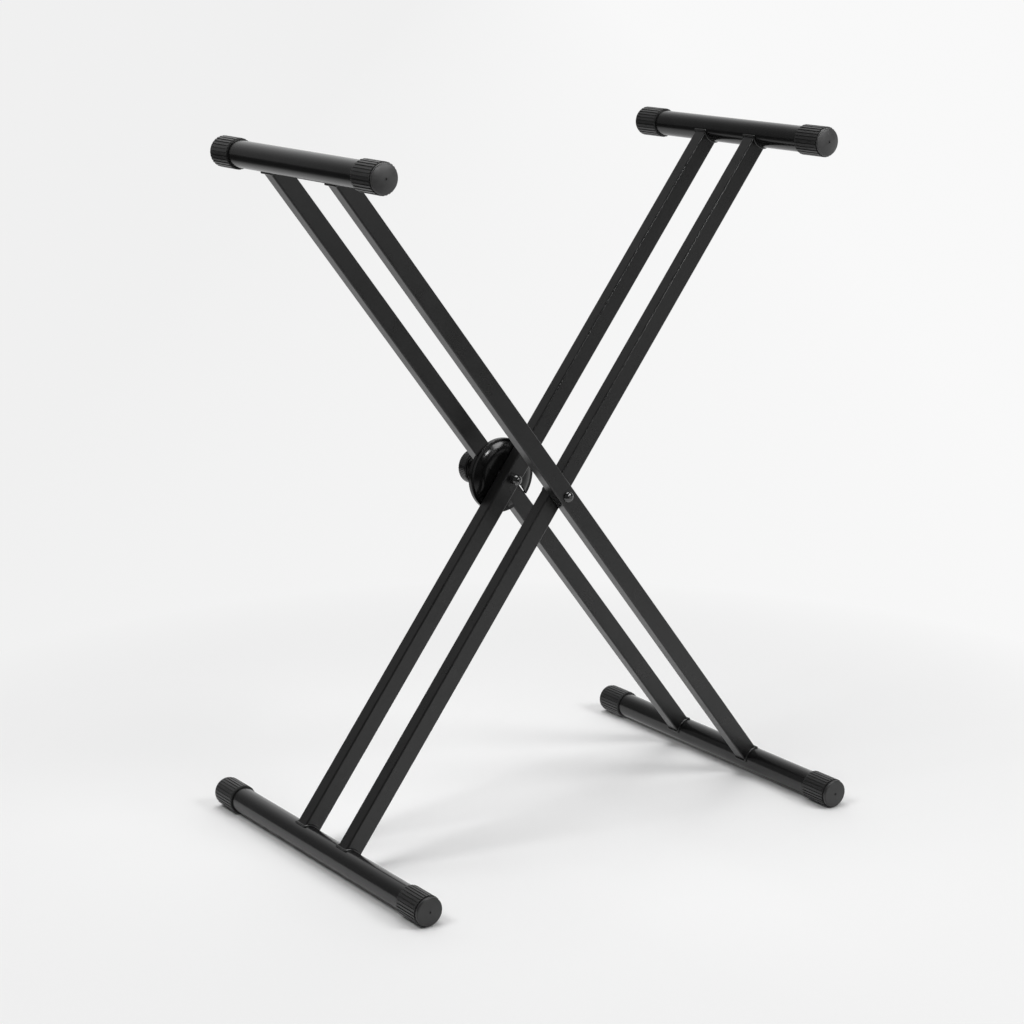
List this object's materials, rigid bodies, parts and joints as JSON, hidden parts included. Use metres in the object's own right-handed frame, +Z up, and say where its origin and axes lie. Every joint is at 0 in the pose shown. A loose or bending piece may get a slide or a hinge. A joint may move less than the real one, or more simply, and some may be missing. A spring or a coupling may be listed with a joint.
{
  "type": "folding keyboard stand",
  "caption": "Black double-braced X-shaped folding keyboard stand with round top arms and feet in ribbed rubber caps, and a round lock dish and clamp knob at the crossing.",
  "frame": {"origin": "on the floor, midway between the two feet and midway along them", "axes": "+Z up, X across the X shape (outer frame's top leans to -X), +Y from the player's side to the back, where the clamp knob is"},
  "size_m": [0.7166, 0.5006, 0.9131],
  "materials": {
    "leg_coat": "satin black powder coat",
    "bar_coat": "satin black powder coat",
    "weld_bead": "satin black powder coat over weld",
    "cap_rubber": "matt black rubber",
    "bolt_black": "glossy black oxide",
    "dish_gloss": "glossy black",
    "knob_plastic": "matt black",
    "zinc_steel": "bright zinc plate",
    "brass": "machined",
    "nylon": "natural nylon",
    "friction_lining": "pressed fibre"
  },
  "bodies": {
    "outer_frame": {"outer_leg_front": "leg_coat", "outer_weld_arm_front": "weld_bead", "outer_weld_foot_front": "weld_bead", "outer_leg_rear": "leg_coat", "outer_weld_arm_rear": "weld_bead", "outer_weld_foot_rear": "weld_bead", "outer_arm_bar": "bar_coat", "outer_arm_cap_front": "cap_rubber", "outer_arm_cap_rear": "cap_rubber", "outer_foot_bar": "bar_coat", "outer_foot_cap_front": "cap_rubber", "outer_foot_cap_rear": "cap_rubber", "front_bolt": "bolt_black", "front_sleeve": "zinc_steel", "front_thrust_washer": "zinc_steel", "front_nut_washer": "zinc_steel", "front_lock_nut": "bolt_black", "friction_ring": "friction_lining", "lock_dish": "dish_gloss", "rear_bush": "nylon", "spring_seat": "zinc_steel", "dish_pin_lower": "zinc_steel", "dish_pin_upper": "zinc_steel"},
    "inner_frame": {"inner_leg_front": "leg_coat", "inner_weld_arm_front": "weld_bead", "inner_weld_foot_front": "weld_bead", "inner_leg_rear": "leg_coat", "inner_weld_arm_rear": "weld_bead", "inner_weld_foot_rear": "weld_bead", "inner_arm_bar": "bar_coat", "inner_arm_cap_front": "cap_rubber", "inner_arm_cap_rear": "cap_rubber", "inner_foot_bar": "bar_coat", "inner_foot_cap_front": "cap_rubber", "inner_foot_cap_rear": "cap_rubber", "front_bush": "nylon", "rear_stud": "zinc_steel", "rear_dome_nut": "bolt_black", "rear_sleeve": "zinc_steel", "clutch_plate": "zinc_steel", "distance_sleeve": "zinc_steel", "stud_clip": "zinc_steel", "plate_pin_lower": "zinc_steel", "plate_pin_upper": "zinc_steel"},
    "clamp": {"thrust_washer": "zinc_steel", "release_spring": "zinc_steel"},
    "knob": {"knob": "knob_plastic", "knob_insert": "brass", "knob_disc": "knob_plastic"}
  },
  "joints": [
    {"name": "fold", "type": "hinge", "parent": "outer_frame", "child": "inner_frame", "pos_m": [0, 0, 0.45128], "axis": [0, -1, 0], "range_deg": [-35, 70]},
    {"name": "clamp_release", "type": "slide", "parent": "inner_frame", "child": "clamp", "axis": [0, 1, 0], "range_m": [0, 0.0015]},
    {"name": "knob_turn", "type": "hinge", "parent": "clamp", "child": "knob", "pos_m": [0, 0.12, 0.45128], "axis": [0, 1, 0], "range_deg": [0, 360]}
  ],
  "couplings": [
    {"joint": "clamp_release", "follows": "knob_turn", "m_per_rad": 0.00023873}
  ]
}
